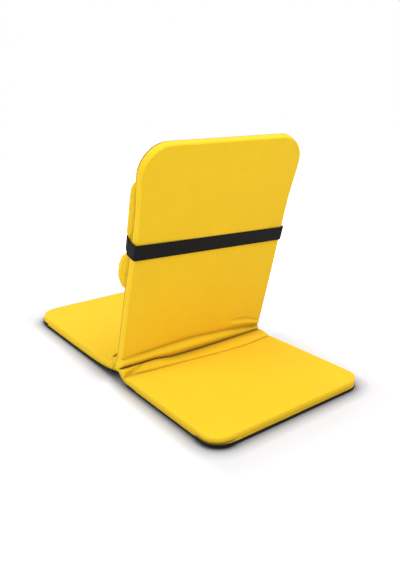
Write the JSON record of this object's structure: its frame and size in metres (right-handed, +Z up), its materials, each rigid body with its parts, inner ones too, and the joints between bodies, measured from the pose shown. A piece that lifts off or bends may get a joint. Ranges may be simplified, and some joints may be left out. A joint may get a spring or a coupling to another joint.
{
  "type": "folding floor chair",
  "caption": "Padded floor chair that folds flat: seat, leaning backrest and rear leaf on one friction hinge line, with a strapped lumbar cushion.",
  "frame": {"origin": "on the floor under the middle of the opened chair", "axes": "+Z up, +X across the chair to the sitter's left, -Y towards the front edge of the seat"},
  "size_m": [0.4506, 0.9342, 0.591],
  "materials": {
    "yellow_canvas": "plain-woven cotton canvas",
    "black_cloth": "plain-woven base cloth",
    "black_webbing": "woven elastic webbing",
    "foam": "polyurethane foam",
    "frame_steel": "powder-coated steel tube",
    "zinc_steel": "zinc-plated steel",
    "friction_lining": "pressed friction lining"
  },
  "bodies": {
    "seat": {"seat_frame": "frame_steel", "seat_foam": "foam", "seat_cover": "yellow_canvas", "seat_base_cloth": "black_cloth", "seat_corner_patch": "black_cloth", "seat_hinge_arms": "zinc_steel"},
    "backrest": {"back_frame": "frame_steel", "back_foam": "foam", "back_cover": "yellow_canvas", "back_seam_tape": "black_cloth", "back_hinge_arms": "zinc_steel", "hinge_bolts": "zinc_steel", "hinge_nuts": "zinc_steel", "spacer_washers": "zinc_steel", "friction_discs": "friction_lining", "disc_springs": "zinc_steel", "crease_cloth": "yellow_canvas"},
    "rear_panel": {"rear_frame": "frame_steel", "rear_foam": "foam", "rear_cover": "yellow_canvas", "rear_base_cloth": "black_cloth", "rear_corner_patch": "black_cloth", "rear_hinge_arms": "zinc_steel"},
    "lumbar": {"lumbar_cover": "yellow_canvas", "lumbar_filling": "foam", "lumbar_strap": "black_webbing"}
  },
  "joints": [
    {"name": "backrest_tilt", "type": "hinge", "parent": "seat", "child": "backrest", "pos_m": [0, 0.0785, 0.04], "axis": [1, 0, 0], "range_deg": [-15, 80]},
    {"name": "rear_fold", "type": "hinge", "parent": "backrest", "child": "rear_panel", "pos_m": [0, 0.0785, 0.04], "axis": [1, 0, 0], "range_deg": [-15, 70], "deforming": ["crease_cloth"]},
    {"name": "cushion_slide", "type": "slide", "parent": "backrest", "child": "lumbar", "axis": [0, 0.2823, 0.9593], "range_m": [-0.04, 0.055]}
  ]
}
